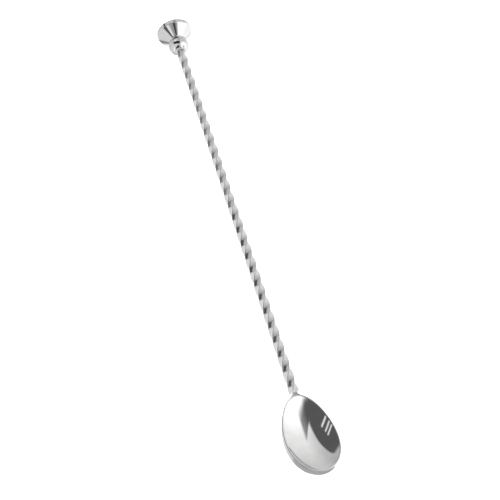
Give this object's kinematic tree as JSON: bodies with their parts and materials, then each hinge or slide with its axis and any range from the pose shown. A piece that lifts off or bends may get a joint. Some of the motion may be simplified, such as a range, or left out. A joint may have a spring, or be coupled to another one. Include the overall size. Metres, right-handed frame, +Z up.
{
  "type": "bar spoon",
  "caption": "Long-handled bar spoon: twisted square stem, small egg-shaped bowl at one end, ball and flat masher disc at the other, for stirring and muddling drinks.",
  "frame": {"origin": "on the table, under the middle of the spoon's length and width, with the spoon lying on its back", "axes": "+Y from the bowl towards the masher disc, +Z up, the way the bowl opens, +X across the bowl"},
  "size_m": [0.0264, 0.2808, 0.0209],
  "materials": {
    "bowl_polish": "mirror-polished stainless steel with fine wipe marks",
    "stem_polish": "polished stainless steel, slightly softer shine than the bowl",
    "braze_metal": "polished silver braze",
    "turned_polish": "turned and polished stainless steel with faint lathe lines"
  },
  "bodies": {
    "root": {"bowl": "bowl_polish", "twisted_stem": "stem_polish", "stem_bowl_braze": "braze_metal", "ball_collar": "turned_polish", "masher_disc": "turned_polish"}
  },
  "joints": []
}
